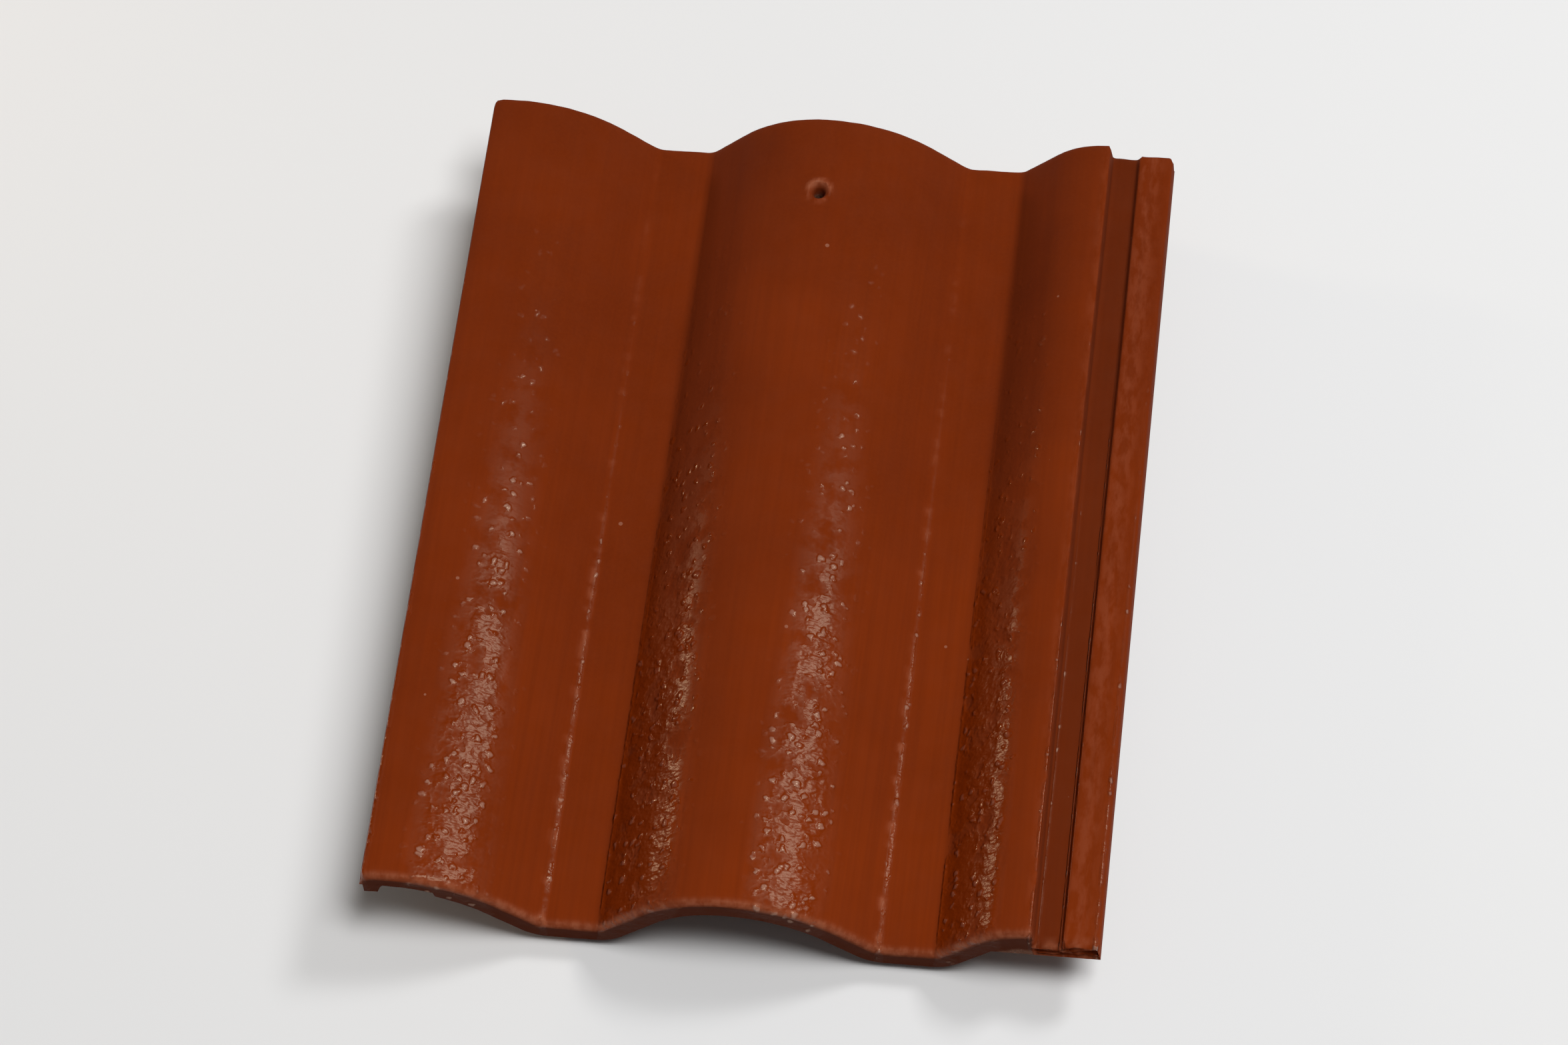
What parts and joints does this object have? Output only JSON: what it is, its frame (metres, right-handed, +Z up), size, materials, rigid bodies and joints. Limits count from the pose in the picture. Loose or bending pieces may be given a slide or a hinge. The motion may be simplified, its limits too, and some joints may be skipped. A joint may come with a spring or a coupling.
{
  "type": "concrete roof tile",
  "caption": "Interlocking concrete roof tile with rolls and pans, a cover lip, a grooved side lock, hanging nibs and a nail hole.",
  "frame": {"origin": "centre of the footprint at floor level, with the tile lying on its weather bars and nibs", "axes": "+X across the roof from the cover edge to the side lock, +Y up the roof from tail to head, +Z up"},
  "size_m": [0.327, 0.4209, 0.0604],
  "materials": {
    "coated_concrete": "brown-red satin acrylic coat over fine-grained cast concrete, with faint cross ripples"
  },
  "bodies": {
    "root": {"roof_tile": "coated_concrete"}
  },
  "joints": []
}
